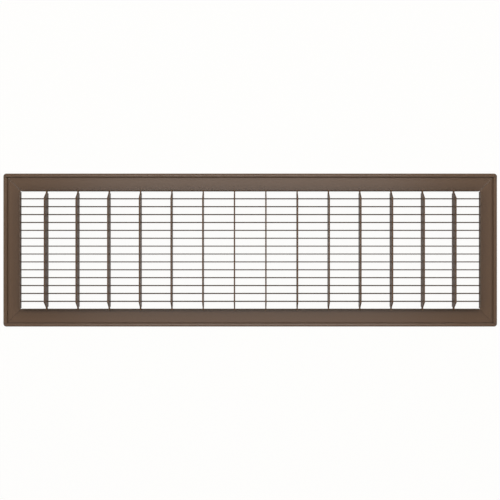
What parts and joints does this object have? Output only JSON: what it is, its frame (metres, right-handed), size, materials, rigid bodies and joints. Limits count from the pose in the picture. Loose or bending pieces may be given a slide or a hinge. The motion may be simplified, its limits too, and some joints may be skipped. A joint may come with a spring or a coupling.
{
  "type": "return air grille",
  "caption": "Rectangular steel return air grille: mitred C-section frame round a fixed grid of long thin blades notched into deeper cross bars, brown enamel.",
  "frame": {"origin": "centre of the room face, which lies in the plane z = 0", "axes": "+X along the blades, +Y across them towards the picture's top, +Z from the room face into the duct"},
  "size_m": [0.8044, 0.2496, 0.0254],
  "materials": {
    "frame_enamel": "brown semi-gloss baked enamel",
    "blade_enamel": "brown semi-gloss baked enamel",
    "bar_enamel": "brown semi-gloss baked enamel"
  },
  "bodies": {
    "root": {"frame_rail_top": "frame_enamel", "frame_rail_bottom": "frame_enamel", "frame_rail_left": "frame_enamel", "frame_rail_right": "frame_enamel", "blade_01": "blade_enamel", "blade_02": "blade_enamel", "blade_03": "blade_enamel", "blade_04": "blade_enamel", "blade_05": "blade_enamel", "blade_06": "blade_enamel", "blade_07": "blade_enamel", "blade_08": "blade_enamel", "blade_09": "blade_enamel", "blade_10": "blade_enamel", "blade_11": "blade_enamel", "blade_12": "blade_enamel", "blade_13": "blade_enamel", "blade_14": "blade_enamel", "cross_bar_01": "bar_enamel", "cross_bar_02": "bar_enamel", "cross_bar_03": "bar_enamel", "cross_bar_04": "bar_enamel", "cross_bar_05": "bar_enamel", "cross_bar_06": "bar_enamel", "cross_bar_07": "bar_enamel", "cross_bar_08": "bar_enamel", "cross_bar_09": "bar_enamel", "cross_bar_10": "bar_enamel", "cross_bar_11": "bar_enamel", "cross_bar_12": "bar_enamel", "cross_bar_13": "bar_enamel", "cross_bar_14": "bar_enamel"}
  },
  "joints": []
}
